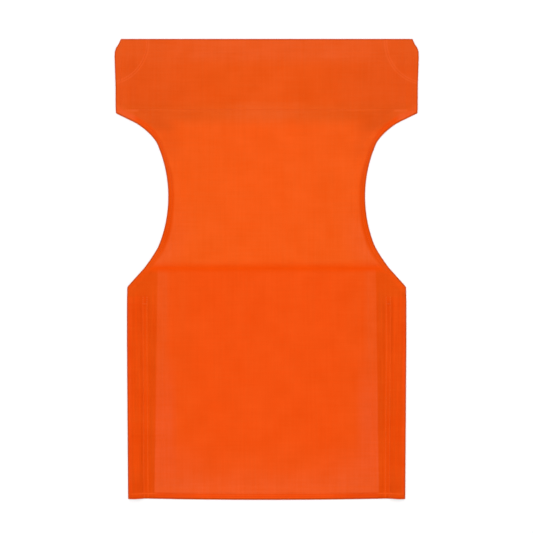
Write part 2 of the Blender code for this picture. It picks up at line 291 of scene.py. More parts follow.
def puckers(from_row, along, seed, depth=PUCKER_DEPTH):
    """The cloth draws in at a row of stitches and ripples a little beside it."""
    groove = -depth * np.exp(-(from_row / PUCKER_REACH) ** 2)
    ripple = RIPPLE * np.exp(-(from_row / RIPPLE_REACH) ** 2)
    return groove + ripple * waves(along, along * 0 + seed, RIPPLE_LENGTH, 1.0, seed)


def underside(x, y):
    """Height of the underside of the cover's face."""
    distance = rim_distance(x, y)
    level = over_hem(edge_distance(x, y, WAIST_EDGE))
    hood = y > MOUTH_FADE[0]
    level = np.where(hood, np.maximum(level, hood_height(x, y, distance)), level)
    allowance = LAYER * smooth(np.abs(x) - sleeve_edge(y), *ALLOWANCE_FADE) * smooth(y, *ALLOWANCE_TOP)
    level = np.maximum(level, allowance)
    level = np.maximum(level, HEM_STACK * smooth(y, *FRONT_HEM_FADE))
    sleeve = (half_width(y) - np.abs(x) < SLEEVE_ROWS[0]) & (y < SLEEVE_MOUTH)
    level = np.where(sleeve, np.maximum(level, sleeve_height(x, y)), level)
    return level + slack(x, y, distance)


def slack(x, y, distance):
    """How the cloth lies: faint swells, the opened fold, and the draw of the stitches."""
    swell = SWELL * (1 + waves(x, y, 0.14, 0.085, seed=1.3))
    swell = swell + SMALL_SWELL * (1 + waves(x, y, 0.036, 0.06, seed=5.9))
    level = smooth(distance, *SWELL_FADE) * swell
    from_fold = np.abs(y - CREASE)
    opened = FOLD_RISE * np.exp(-from_fold / FOLD_SPREAD) * (1 - np.exp(-(from_fold / FOLD_WIDTH) ** 2))
    level = level * (1 - np.exp(-(from_fold / FOLD_FLAT) ** 2)) + opened * smooth(np.abs(x), *FOLD_ENDS)
    inset = half_width(y) - np.abs(x)
    gathered = smooth(inset, *GATHER_OUTER) * smooth(inset, *GATHER_INNER)
    gathered = gathered * smooth(y, SLEEVE_END, SLEEVE_FULL)
    level = level + GATHER * gathered * (1 + waves(x, y, 0.0062, 0.13, seed=21.0))
    for number, row in enumerate(SLEEVE_ROWS):
        level = level + np.where(y < SLEEVE_END, puckers(inset - row, y, 2.5 + number), 0.0)
    level = level + puckers(y - FRONT_HEM_ROW, x, 4.4)
    level = level + puckers(edge_distance(x, y, WAIST_EDGE) - WAIST_STITCH, y, 6.2)
    mouth = puckers(y - MOUTH_HEM_TOP, x, 7.3, MOUTH_PUCKER_DEPTH)
    level = level + np.where(y > MOUTH_PUCKERS_FROM, mouth, 0.0)
    ring = puckers(from_patch(x, y) - PATCH_STITCH_RADIUS, y, 9.6)
    return level + np.where(y > PATCH_PUCKERS_FROM, ring, 0.0)


def from_patch(x, y):
    """The distance from points to the centre of a corner patch's round edge."""
    return np.hypot(np.abs(x) - PATCH_CENTRE[0], y - PATCH_CENTRE[1])


def rolled(x, y, level):
    """Turns the cloth down to the floor at the cover's edge, but not at the sleeves' open ends."""
    closed = np.minimum(edge_distance(x, y, SIDE), edge_distance(x, y, TOP_LINE))
    inset = half_width(y) - np.abs(x)
    front = y - front_edge(x) + EDGE_ROLL * smooth(inset, SLEEVE_ROWS[0], SLEEVE_ROWS[0] - OPEN_END_FADE)
    share = np.clip(np.minimum(closed, front) / EDGE_ROLL, 0.0, 1.0)
    return level * np.sqrt(1 - (1 - share) ** 2)


# ---------------------------------------------------------------- meshes

def spaced(start, *stretches):
    """Values from start along stretches, each given as its end and the spacing on the way there."""
    values = [start]
    for end, spacing in stretches:
        count = max(1, round(abs(end - values[-1]) / spacing))
        values += list(np.linspace(values[-1], end, count + 1))[1:]
    return np.array(values)


def across(ys, insets, columns):
    """Places for rows of points: set in from both edges, then shared out towards the middle."""
    edge = half_width(ys)[:, None]
    outer = edge - insets[None, :]
    middle = outer[:, -1:] * np.linspace(1.0, 0.0, columns + 1)[None, 1:]
    half = np.concatenate([outer, middle], axis=1)
    return np.concatenate([-half, half[:, -2::-1]], axis=1)


def object_of(name, data):
    """An object in the scene that shows this data."""
    item = bpy.data.objects.new(name, data)
    bpy.context.scene.collection.objects.link(item)
    return item


def mesh_of(name, points, faces, uvs):
    """A mesh with a map of each point's place on the flat cloth, in metres."""
    mesh = bpy.data.meshes.new(name)
    mesh.from_pydata(points.tolist(), [], faces)
    layer = mesh.uv_layers.new(name="cloth")
    index = np.empty(len(mesh.loops), np.int32)
    mesh.loops.foreach_get("vertex_index", index)
    layer.data.foreach_set("uv", uvs[index].astype(np.float32).ravel())
    mesh.shade_smooth()
    return mesh


def grid_faces(rows, columns, closed=False):
    """Faces of a grid of points. A closed grid's columns meet round the back."""
    last = columns if closed else columns - 1
    faces = []
    for row in range(rows - 1):
        for column in range(last):
            beside = (column + 1) % columns
            a, b = row * columns + column, row * columns + beside
            faces.append((a, b, b + columns, a + columns))
    return faces


def on_side(side, x, y, z):
    """A grid made on the right-hand side, mirrored for the left with its faces still outward."""
    return (x, y, z) if side > 0 else (-x[:, ::-1], y[:, ::-1], z[:, ::-1])


def add_value(mesh, name, values):
    """A value at each point, which a material can read."""
    attribute = mesh.attributes.new(name, "FLOAT", "POINT")
    attribute.data.foreach_set("value", np.asarray(values, np.float32).ravel())


def cloth_piece(name, x, y, z, material, values=None):
    """A sheet of cloth whose middle surface is a grid of points, given its thickness."""
    points = np.stack([x, y, z], axis=-1).reshape(-1, 3)
    mesh = mesh_of(name, points, grid_faces(*x.shape), points[:, :2])
    for key, value in (values or {}).items():
        add_value(mesh, key, value)
    item = object_of(name, mesh)
    solid = item.modifiers.new("Thickness", "SOLIDIFY")
    solid.thickness = CLOTH
    solid.offset = 0.0
    return finished(item, material)


def finished(item, material):
    """Applies a piece's modifiers, marks its sharp edges and gives it its material."""
    depsgraph = bpy.context.evaluated_depsgraph_get()
    mesh = bpy.data.meshes.new_from_object(item.evaluated_get(depsgraph))
    item.modifiers.clear()
    item.data = mesh
    mesh.shade_smooth()
    mesh.set_sharp_from_angle(angle=math.radians(SHARP_ANGLE))
    mesh.materials.clear()
    mesh.materials.append(material)
    return item


def stand_in(item, slot, *nodes):
    """Hides the CAD nodes that a piece stands for. The slot is not used."""
    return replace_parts(item, *nodes)


# ---------------------------------------------------------------- materials

def linear(red, green, blue):
    """A display colour, 0 to 255, as the linear values that a shader takes."""
    shares = [value / 255 for value in (red, green, blue)]
    return [s / 12.92 if s <= 0.04045 else ((s + 0.055) / 1.055) ** 2.4 for s in shares]


# The light falling on the cloth, and the haze its gloss adds, which its own colour leaves room for
LIGHT = 1.117
HAZE = (0.0155, 0.0098, 0.0011)


def tone(red, green, blue):
    """The base colour that looks like this display colour in the scene's light, keeping any light or shade
    painted into that display colour.
    """
    seen = linear(red, green, blue)
    return [max(value - haze, 0.0006) / LIGHT for value, haze in zip(seen, HAZE)] + [1.0]


class Material:
    """A material's nodes, added by short calls. A value is a number, a colour or a socket."""

    def __init__(self, name):
        self.data = bpy.data.materials.new(name)
        self.data.use_nodes = True
        self.tree = self.data.node_tree
        self.shader = self.tree.nodes["Principled BSDF"]

    def node(self, kind, inputs=None, **settings):
        """A node with these settings, and these values put into its inputs."""
        made = self.tree.nodes.new("ShaderNode" + kind)
        for key, value in settings.items():
            setattr(made, key, value)
        for key, value in (inputs or {}).items():
            self.put(made.inputs[key], value)
        return made

    def put(self, socket, value):
        if isinstance(value, bpy.types.NodeSocket):
            self.tree.links.new(value, socket)
        else:
            socket.default_value = value

    def math(self, operation, first, second=0.0):
        return self.node("Math", {0: first, 1: second}, operation=operation).outputs[0]

    def add(self, first, second):
        return self.math("ADD", first, second)

    def less(self, first, second):
        return self.math("SUBTRACT", first, second)

    def times(self, first, second):
        return self.math("MULTIPLY", first, second)

    def rise(self, value, start, end):
        """0 before start and 1 after end, smooth between. Start may be above end."""
        low, high = sorted((start, end))
        inputs = {"Value": value, "From Min": low, "From Max": high}
        inputs.update({"To Min": float(start > end), "To Max": float(start < end)})
        return self.node("MapRange", inputs, interpolation_type="SMOOTHSTEP").outputs["Result"]

    def stretch(self, value, low, lower_full, high, upper_full, most):
        """Rises to its most between low and lower_full, and falls again from upper_full to high."""
        return self.both(self.rise(value, low, lower_full), self.rise(value, high, upper_full), most)

    def line(self, value, middle, reach):
        """1 where a value is at its middle, fading to 0 on both sides."""
        off = self.math("ABSOLUTE", self.less(value, middle))
        return self.rise(off, reach, reach * 0.2)

    def centred(self, value):
        """Noise from 0 to 1, moved to lie about 0."""
        return self.less(value, 0.5)

    def both(self, *masks):
        """1 only where all the masks are."""
        result = masks[0]
        for mask in masks[1:]:
            result = self.times(result, mask)
        return result

    def mix(self, mask, first, second):
        """The first colour where the mask is 0, the second where it is 1."""
        return self.node("Mix", {0: mask, 6: first, 7: second}, data_type="RGBA").outputs[2]

    def layered(self, colour, *layers):
        """A colour with others laid over it, each given as its mask and its tone."""
        for mask, tone_above in layers:
            colour = self.mix(mask, colour, tone_above)
        return colour

    def graded(self, value, tones, stops):
        """Tones that follow one another as a value passes from stop to stop."""
        masks = [self.rise(value, start, end) for start, end in zip(stops, stops[1:])]
        return self.layered(tones[0], *zip(masks, tones[1:]))

    def settings(self, **values):
        """Sets the shader's own sockets."""
        for name, value in values.items():
            self.shader.inputs[name.replace("_", " ")].default_value = value

    def scaled(self, colour, amount):
        """A colour times an amount."""
        if not isinstance(colour, bpy.types.NodeSocket):
            colour = colour[:3]
        return self.node("VectorMath", {0: colour, "Scale": amount}, operation="SCALE").outputs[0]

    def noise(self, vector, scale, stretch=(1.0, 1.0, 1.0), detail=2.0):
        """Noise from 0 to 1, its grain stretched along each axis."""
        placed = self.node("Mapping", {"Vector": vector, "Scale": stretch}).outputs[0]
        return self.node("TexNoise", {"Vector": placed, "Scale": scale, "Detail": detail}).outputs[0]

    def bump(self, relief, strength, height):
        """Raises the surface by a height in metres where the relief is 1."""
        made = self.node("Bump", {"Strength": strength, "Distance": height, "Height": relief})
        self.put(self.shader.inputs["Normal"], made.outputs[0])

    def flat_place(self):
        """x, y and the vector of a point's place on the flat cloth, in metres."""
        where = self.node("UVMap", uv_map="cloth").outputs[0]
        parts = self.node("SeparateXYZ", {0: where})
        return parts.outputs[0], parts.outputs[1], where


def weave(mat, x, y):
    """Height of a plain weave, threads passing over and under each other."""
    cells = [mat.times(value, 1 / WEAVE_PITCH) for value in (x, y)]
    turns = [mat.times(cell, math.pi) for cell in cells]
    warp, weft = (mat.math("ABSOLUTE", mat.math("SINE", turn)) for turn in turns)
    crossing = mat.add(mat.math("FLOOR", cells[0]), mat.math("FLOOR", cells[1]))
    over = mat.math("ABSOLUTE", mat.math("MODULO", crossing, 2.0))
    high = mat.times(warp, over)
    low = mat.times(weft, mat.less(1.0, over))
    return mat.add(high, low)


# The canvas's grain: how often each kind of noise repeats in a metre along x, y and z
RIBS = (230.0, 7.0, 1.0)
FINE_RIBS = (700.0, 16.0, 1.0)
SLUBS = (10.0, 330.0, 1.0)
DYE_RIBS = (260.0, 9.0, 4.0)
DYE_SLUBS = (14.0, 240.0, 4.0)
STREAKS = (160.0, 14.0, 1.0)
CLOUDS = 24.0

# How strongly it shades the canvas. The cloth of the sleeves is gathered, so its ribs show more: there
# their tone varies more, partly grain and partly painted light and shade of the ripples.
RIB_SHADE = 0.045
GATHERED_RIPPLE_SHADE = 0.19
FINE_RIB_SHADE = 0.03
SLUB_SHADE = 0.04
CLOUD_SHADE = 0.105
WEAVE_SHADE = 0.015
CLOUD_DYE = 1.2
GATHERED_DYE = 0.5
GATHERED_FROM = (0.196, 0.2)
GATHERED_BELOW = (-0.03, -0.05)
DYES = ((1.0, 0.91, 0.6, 1.0), (1.0, 1.09, 1.4, 1.0))

# How rough and how raised it is
ROUGHNESS = 0.56
RIB_ROUGHNESS = 0.1
RIB_HEIGHT = 1.4
FINE_RIB_HEIGHT = 0.6
SLUB_HEIGHT = 0.6


def canvas(name, colour_of):
    """Plain-weave canvas. colour_of gives its colour from the place on the flat cloth."""
    mat = Material(name)
    x, y, where = mat.flat_place()
    threads = weave(mat, x, y)
    ribs = mat.noise(where, 1.0, RIBS)
    fine_ribs = mat.noise(where, 1.0, FINE_RIBS)
    slubs = mat.noise(where, 1.0, SLUBS)
    clouds = mat.noise(where, CLOUDS, detail=4.0)
    dye_ribs = mat.noise(where, 1.0, DYE_RIBS)
    dye_slubs = mat.noise(where, 1.0, DYE_SLUBS)

    aside = mat.math("ABSOLUTE", x)
    # Stronger ribs in the sleeves: partly grain, partly painted light and shade of the gathered cloth's
    # ripples
    gathered = mat.both(mat.rise(aside, *GATHERED_FROM), mat.rise(y, *GATHERED_BELOW))
    strength = mat.add(RIB_SHADE, mat.times(gathered, GATHERED_RIPPLE_SHADE))
    shade = mat.times(mat.centred(ribs), strength)
    grains = (
        (fine_ribs, FINE_RIB_SHADE), (slubs, SLUB_SHADE), (clouds, CLOUD_SHADE), (threads, WEAVE_SHADE),
    )
    for value, amount in grains:
        shade = mat.add(shade, mat.times(mat.centred(value), amount))
    shade = mat.add(shade, 1.0)
    colour = mat.scaled(colour_of(mat, x, y, where), shade)

    spread = mat.add(1.0, mat.times(gathered, GATHERED_DYE))
    dye = mat.add(mat.centred(dye_ribs), mat.centred(dye_slubs))
    dye = mat.add(dye, mat.times(mat.centred(clouds), CLOUD_DYE))
    dye = mat.add(0.5, mat.times(dye, spread))
    tinted = mat.node("VectorMath", {0: colour, 1: mat.mix(dye, *DYES)}, operation="MULTIPLY")
    mat.put(mat.shader.inputs["Base Color"], tinted.outputs[0])

    rough = mat.add(ROUGHNESS, mat.times(mat.centred(ribs), RIB_ROUGHNESS))
    mat.put(mat.shader.inputs["Roughness"], rough)
    mat.settings(
        Specular_IOR_Level=0.22, Specular_Tint=(1.0, 0.46, 0.04, 1.0),
        Sheen_Weight=0.05, Sheen_Roughness=0.45, Sheen_Tint=(1.0, 0.35, 0.0, 1.0))

    relief = mat.add(threads, mat.times(ribs, RIB_HEIGHT))
    relief = mat.add(relief, mat.times(fine_ribs, FINE_RIB_HEIGHT))
    relief = mat.add(relief, mat.times(slubs, SLUB_HEIGHT))
    mat.bump(relief, strength=0.45, height=0.00025)
    return mat.data


# How the face of the cover looks, part by part, in the studio's light, with light and shade painted into
# its colours. Cloth lying over another layer is painted darker, because less light comes back through it.
WAIST_TONES = (tone(247.2, 91.0, 24.0), tone(244.8, 91.2, 24.6))
# Painted sheen on the lower waist beside its cut-out, where the cloth tilts up onto the hem
WAIST_PAINTED_SHEEN_TONE = tone(242.6, 93.4, 34.0)
WAIST_UPPER_TONE = tone(239.0, 88.6, 24.0)
# The seat is painted darker and less hazy than the waist, as painted shade for its tilt away from the light
# across the fold
SEAT_TONES = (
    tone(245.0, 82.6, 18.2), tone(244.4, 82.0, 17.4), tone(241.8, 83.0, 18.8), tone(239.0, 86.8, 27.2),
)
# Painted sheen: the seat paler and hazier beside the sleeves, where it rises onto them, and towards the
# front hem
SEAT_SHEEN_STRIP_TONE = tone(240.0, 87.2, 33.0)
SEAT_FRONT_SHEEN_TONES = (
    tone(243.0, 84.4, 22.0), tone(240.8, 86.6, 29.5), tone(243.0, 90.6, 34.0), tone(239.8, 90.2, 35.5),
)
# Painted shadow: a dark line along the fold
CREASE_SHADOW_TONE = tone(243.0, 75.8, 4.0)
# The front hem's tones; its last is painted shade along the rim
FRONT_HEM_TONES = (
    tone(249.0, 86.0, 22.0), tone(241.0, 75.0, 12.5), tone(240.0, 79.0, 18.0), tone(206.0, 69.0, 16.0),
)
FRONT_HEM_SIDE_TONE = tone(226.0, 70.0, 11.0)
# The sleeves' mouths: a painted highlight along the row of stitches and painted shade at the open rim
SLEEVE_MOUTH_TONES = (tone(231.0, 76.0, 11.0), tone(244.0, 90.0, 25.0), tone(223.0, 69.0, 5.5))
ALLOWANCE_TONE = tone(230.2, 77.4, 12.4)
ALLOWANCE_TOP_TONE = tone(233.0, 80.4, 13.6)
TUBE_TONE = tone(234.4, 76.2, 11.6)
TUBE_FRONT_TONE = tone(228.4, 75.2, 12.0)
TUBE_RIM_TONE = tone(240.0, 77.8, 14.0)
# Painted highlight along the sleeves' rows of stitches, and painted shade in streaks in the grooves beside
# them
RIDGE_HIGHLIGHT_TONE = tone(240.5, 84.0, 15.5)
GROOVE_SHADE_TONE = tone(227.5, 74.0, 8.5)
WAIST_HEM_TONES = (
    tone(237.5, 81.0, 14.0), tone(234.4, 75.6, 6.5), tone(233.0, 79.6, 16.5), tone(240.0, 79.0, 14.0),
)
# Painted sheen on the hood's lower slope by the waist's cut-out
SLOPE_HEM_SHEEN_TONE = tone(239.5, 91.5, 37.0)
SLOPE_PAINTED_SHEEN_TONE = tone(234.0, 90.0, 29.5)
BAND_TONES = (tone(237.0, 87.3, 23.6), tone(235.1, 85.4, 21.2), tone(231.3, 85.2, 24.8))
# Painted sheen towards the hood's rolled top edge
BAND_TOP_SHEEN_TONES = (tone(235.2, 90.6, 32.5), tone(230.0, 86.4, 26.5))
# Near the hood's mouth: painted sheen in the middle and painted shade towards the corners; the darkest is
# also the painted shadow in the hood's lower corners
MOUTH_SHEEN_AND_SHADE_TONES = (tone(236.6, 92.3, 31.2), tone(232.6, 88.6, 25.0), tone(228.4, 85.4, 23.8))
# Painted highlights along the ridges of the corner patches and of the mouth's hem
PATCH_RIDGE_HIGHLIGHT_TONE = tone(238.0, 94.5, 37.0)
MOUTH_RIDGE_HIGHLIGHT_TONE = tone(233.5, 90.5, 28.5)
# Painted highlight on the tack at each end of the mouth's stitching
MOUTH_TACK_HIGHLIGHT_TONE = tone(240.0, 101.0, 43.0)
# Painted shade along every edge, where the cloth rolls down to the floor
RIM_SHADE_TONE = tone(207.0, 76.0, 13.0)

# Where those tones begin and end: distances from an edge, or places along or across the cover
PAINTED_SHEEN_REACH = (0.06, 0.016)
PAINTED_SHEEN_BELOW = (0.14, 0.04)
UPPER_REACH = (0.048, 0.02)
UPPER_ABOVE = (0.185, 0.215)
CREASE_SHADOW = (-0.0002, 0.0176)
SEAT_BELOW = (0.003, -0.009)
HOOD_ABOVE = (0.249, 0.278)
CORNER_SHADOW_REACH = (0.058, 0.027)
CORNER_SHADOW_BAND = ((0.239, 0.259), (0.3, 0.278))
SLOPE_ABOVE = (0.256, 0.262)
SLOPE_BEYOND = (0.229, 0.243)
SLOPE_PAINTED_SHEEN_REACH = (0.019, 0.011)
# The hem's tone reaches out over a strip of painted shadow beside it
HEM_AND_SHADOW_REACH = (0.0138, 0.007)
NARROW_HEM = (0.16, 0.205, 0.25, 0.235, 0.0028)
WIDE_HEM = (0.01, 0.025, 0.11, 0.07, 0.0018)
# Painted shade along the edges
RIM_SHADE_REACH = (0.0029, 0.0012)
MOUTH_TACK_SPAN = (0.227, 0.233, 0.255, 0.249, 0.8)
MOUTH_LINE = MOUTH_HEM_TOP - 0.0012
MOUTH_LINE_REACH = 0.0034
NEARER_BELOW = (-0.29, -0.36)
FRONT_BELOW = (-0.345, -0.393)
SHEEN_FRAME_BEYOND = (0.17, 0.184)
SHEEN_STRIP_BEYOND = (0.155, 0.176)
SHEEN_STRIP_BELOW = (-0.13, -0.26)
ALLOWANCE_EDGE = (-0.0018, 0.0014)
ALLOWANCE_TONES_TURN = (-0.07, -0.035)
SEWN_BELOW = (SLEEVE_END + 0.003, SLEEVE_END - 0.003)
TUBE_REACH = (0.0385, 0.036)
TUBE_RIM_REACH = (0.009, 0.005)
TUBE_FRONT_BELOW = (-0.35, -0.385)
TUBE_FRONT_REACH = (0.029, 0.026)
GROOVES = (0.025, 0.0397)
FRONT_HEM_REACH = (0.0124, 0.0098)
FRONT_HEM_LINES = (0.0057, 0.0093)
FRONT_RIM_SHADE = (0.0036, 0.0024)
FRONT_SIDE_BEYOND = (0.11, 0.175)
SLEEVE_MOUTH_BEYOND = (0.195, 0.203)
SLEEVE_MOUTH_LINE = 0.0094
SLEEVE_MOUTH_RIM_SHADE = (0.0042, 0.0032)
TUBE_BEYOND = (0.221, 0.227)
BAND_ABOVE = (0.286, 0.306)
BAND_TOP_SHEEN_ABOVE = (0.356, 0.39)
MOUTH_RIDGE_BEYOND = (0.09, 0.15)


def face_colour(mat, x, y, where):
    """The colours of the cover's face, with painted light and shade."""
    aside = mat.math("ABSOLUTE", x)
    edge, rim, inset, ring, front = (
        mat.node("Attribute", attribute_name=name).outputs["Fac"]
        for name in ("edge", "rim", "inset", "ring", "front"))
    # Painted sheen: the lower waist paler and hazier near its cut-out
    haze = mat.both(mat.rise(edge, *PAINTED_SHEEN_REACH), mat.rise(y, *PAINTED_SHEEN_BELOW))
    upper = mat.both(mat.rise(edge, *UPPER_REACH), mat.rise(y, *UPPER_ABOVE))
    waist = mat.layered(
        mat.graded(aside, WAIST_TONES, (0.02, 0.13)), (haze, WAIST_PAINTED_SHEEN_TONE), (upper, WAIST_UPPER_TONE))
    # Painted shadow in the hood's lower corners, along the cut-out
    corner_shadow = mat.both(mat.rise(edge, *CORNER_SHADOW_REACH), *(mat.rise(y, *side) for side in CORNER_SHADOW_BAND))
    # Painted sheen on the hood's lower slope, over the hem and beside it
    slope = mat.both(mat.rise(y, *SLOPE_ABOVE), mat.rise(aside, *SLOPE_BEYOND))
    hem = mat.graded(y, WAIST_HEM_TONES, (0.02, 0.065, 0.225, 0.245))
    hem = mat.mix(slope, hem, SLOPE_HEM_SHEEN_TONE)
    # The hem's tone fades out beside it, over a strip of painted shadow where the cloth drops off the hem
    from_hem = mat.less(mat.add(edge, mat.stretch(y, *NARROW_HEM)), mat.stretch(y, *WIDE_HEM))
    # Painted highlight on the tacks at the mouth's ends
    tack_highlight = mat.both(mat.stretch(aside, *MOUTH_TACK_SPAN), mat.line(y, MOUTH_LINE, MOUTH_LINE_REACH))
    # Painted shadow along the fold, with the waist's tones laid over it above and the seat's below
    return mat.layered(
        CREASE_SHADOW_TONE,
        (mat.rise(y, *CREASE_SHADOW), waist),
        (mat.rise(y, *SEAT_BELOW), seat_colour(mat, aside, inset, front, y, where)),
        (mat.rise(y, *HOOD_ABOVE), band_colour(mat, aside, ring, y)),
        (corner_shadow, MOUTH_SHEEN_AND_SHADE_TONES[2]),
        (mat.both(mat.rise(edge, *SLOPE_PAINTED_SHEEN_REACH), slope), SLOPE_PAINTED_SHEEN_TONE),
        (mat.rise(from_hem, *HEM_AND_SHADOW_REACH), hem),
        (tack_highlight, MOUTH_TACK_HIGHLIGHT_TONE),
        (mat.rise(rim, *RIM_SHADE_REACH), RIM_SHADE_TONE),
    )


def seat_colour(mat, aside, inset, front, y, where):
    """The seat, its sleeves and its front hem."""
    # Painted sheen where the seat rises towards the front hem and beside the sleeves, whose outer seat tone
    # is painted sheen too
    nearer = mat.graded(aside, SEAT_FRONT_SHEEN_TONES[:2], (0.07, 0.18))
    nearest = mat.graded(aside, SEAT_FRONT_SHEEN_TONES[2:], (0.09, 0.16))
    sheen_strip = mat.both(mat.rise(aside, *SHEEN_STRIP_BEYOND), mat.rise(y, *SHEEN_STRIP_BELOW))
    spread = mat.times(mat.less(SLEEVE_END, y), SLEEVE_SPREAD)
    beyond = mat.less(mat.less(aside, SLEEVE_EDGES[0]), spread)
    allowance = mat.mix(mat.rise(y, *ALLOWANCE_TONES_TURN), ALLOWANCE_TONE, ALLOWANCE_TOP_TONE)
    sewn = mat.rise(y, *SEWN_BELOW)
    near_front = mat.both(mat.rise(y, *TUBE_FRONT_BELOW), mat.rise(inset, *TUBE_FRONT_REACH))
    tube = mat.mix(near_front, TUBE_TONE, TUBE_FRONT_TONE)
    # Streaks of painted shade in the grooves beside the stitches
    groove_shade_streaks = mat.both(mat.rise(mat.noise(where, 1.0, STREAKS), 0.25, 0.75), sewn)
    return mat.layered(
        mat.graded(aside, SEAT_TONES[:3], (0.04, 0.105, 0.165)),
        (mat.rise(y, *NEARER_BELOW), nearer),
        (mat.rise(aside, *SHEEN_FRAME_BEYOND), SEAT_TONES[3]),
        (sheen_strip, SEAT_SHEEN_STRIP_TONE),
        (mat.rise(y, *FRONT_BELOW), nearest),
        (mat.rise(beyond, *ALLOWANCE_EDGE), allowance),
        (mat.both(mat.rise(inset, *TUBE_REACH), sewn), tube),
        (mat.both(mat.rise(inset, *TUBE_RIM_REACH), sewn), TUBE_RIM_TONE),
        *((mat.both(mat.line(inset, groove, 0.0026), groove_shade_streaks), GROOVE_SHADE_TONE) for groove in GROOVES),
        (mat.rise(front, *FRONT_HEM_REACH), front_hem_colour(mat, aside, front)),
        *((mat.both(mat.line(inset, row, 0.0021), sewn, 0.9), RIDGE_HIGHLIGHT_TONE) for row in SLEEVE_ROWS),
    )


def front_hem_colour(mat, aside, front):
    """The lines along the front hem and the sleeves' mouths, by the distance from the front edge."""
    base, first, second, rim = FRONT_HEM_TONES
    plain, light, dark = SLEEVE_MOUTH_TONES
    # A painted highlight along the stitches, and painted shade at the mouth's rim
    mouth = mat.layered(
        plain,
        (mat.line(front, SLEEVE_MOUTH_LINE, 0.0024), light),
        (mat.both(mat.rise(aside, *TUBE_BEYOND), 0.5), plain),
        (mat.rise(front, *SLEEVE_MOUTH_RIM_SHADE), dark),
    )
    # Painted shade at the hem's rim
    return mat.layered(
        base,
        (mat.line(front, FRONT_HEM_LINES[0], 0.0017), first),
        (mat.line(front, FRONT_HEM_LINES[1], 0.0017), second),
        (mat.rise(front, *FRONT_RIM_SHADE), rim),
        (mat.both(mat.rise(aside, *FRONT_SIDE_BEYOND), 0.5), FRONT_HEM_SIDE_TONE),
        (mat.rise(aside, *SLEEVE_MOUTH_BEYOND), mouth),
    )


def band_colour(mat, aside, ring, y):
    """The front of the hood."""
    band = mat.graded(aside, BAND_TONES, (0.02, 0.075, 0.205))
    # Painted sheen on the roll to the hood's top edge
    top = mat.graded(aside, BAND_TOP_SHEEN_TONES, (0.15, 0.245))
    # Painted highlights along the mouth hem's ridge and the corner patches' ridges
    ridge_highlight = mat.both(mat.line(y, MOUTH_LINE, MOUTH_LINE_REACH), mat.rise(aside, *MOUTH_RIDGE_BEYOND))
    # Painted sheen in the middle of the mouth and painted shade towards its corners
    return mat.layered(
        mat.graded(aside, MOUTH_SHEEN_AND_SHADE_TONES, (0.045, 0.085, 0.195)),
        (mat.rise(y, *BAND_ABOVE), band),
        (mat.rise(y, *BAND_TOP_SHEEN_ABOVE), top),
        (ridge_highlight, MOUTH_RIDGE_HIGHLIGHT_TONE),
        *((mat.both(mat.line(ring, radius, 0.0019), 0.8), PATCH_RIDGE_HIGHLIGHT_TONE) for radius in PATCH_RIDGES),
    )


def plain_colour(colour):
    return lambda mat, x, y, where: colour


# The thread's twist, its fine fibres and its colour
TWIST_SLANT = 2.2
TWIST_RATE = 9000.0
FIBRES = (2600.0, 700.0, 1.0)
THREAD_TONE = tone(241, 93, 27)


def thread_material():
    """Twisted polyester thread, a little lighter and glossier than the cloth."""
    mat = Material("sewing_thread")
    x, y, where = mat.flat_place()
    slant = mat.add(x, mat.times(y, TWIST_SLANT))
    twist = mat.math("SINE", mat.times(slant, TWIST_RATE))
    fibres = mat.noise(where, 1.0, FIBRES)
    shade = mat.add(0.93, mat.times(twist, 0.05))
    shade = mat.add(shade, mat.times(fibres, 0.14))
    mat.put(mat.shader.inputs["Base Color"], mat.scaled(THREAD_TONE, shade))
    mat.settings(Roughness=0.42, Specular_IOR_Level=0.25, Specular_Tint=(1.0, 0.5, 0.25, 1.0))
    mat.bump(mat.add(twist, fibres), strength=0.5, height=0.00008)
    return mat.data


# ---------------------------------------------------------------- the cover's face

def cover_face(material):
    """The whole face as one sheet, with its points closest where it is sewn or folded."""
    rows = spaced(
        FRONT_CORNER, (-0.395, 0.0012), (-0.376, 0.003), (-0.064, 0.0042), (-0.03, 0.002),
        (-0.012, 0.0026), (CREASE - FOLD_REACH, 0.0012), (CREASE + FOLD_REACH, 0.0008), (0.022, 0.0018),
        (0.2, 0.0042), (0.256, 0.003), (0.292, 0.0015), (0.388, 0.0036), (0.404, 0.0018),
        (TOP, 0.0009),
    )
    insets = spaced(
        0.0, (0.0012, 0.0002), (0.0084, 0.0009), (0.0264, 0.0015), (0.0376, 0.0011), (0.0476, 0.0016),
        (0.0548, 0.0012), (0.07, 0.003),
    )
    x = across(rows, insets, 20)
    y = np.repeat(rows[:, None], x.shape[1], axis=1)
    y = y + (front_edge(x) - FRONT_CORNER) * smooth(y, FRONT_CORNER + 0.04, FRONT_CORNER)
    z = rolled(x, y, underside(x, y)) + CLOTH / 2
    values = {
        "edge": edge_distance(x, y, WAIST_EDGE),
        "rim": rim_distance(x, y),
        "inset": half_width(y) - np.abs(x),
        "ring": from_patch(x, y),
        "front": y - front_edge(x),
    }
    piece = cloth_piece("cover_face", x, y, z, material, values=values)
    return stand_in(piece, "canvas_back", "back_panel", "seat_panel")


# ---------------------------------------------------------------- layers underneath

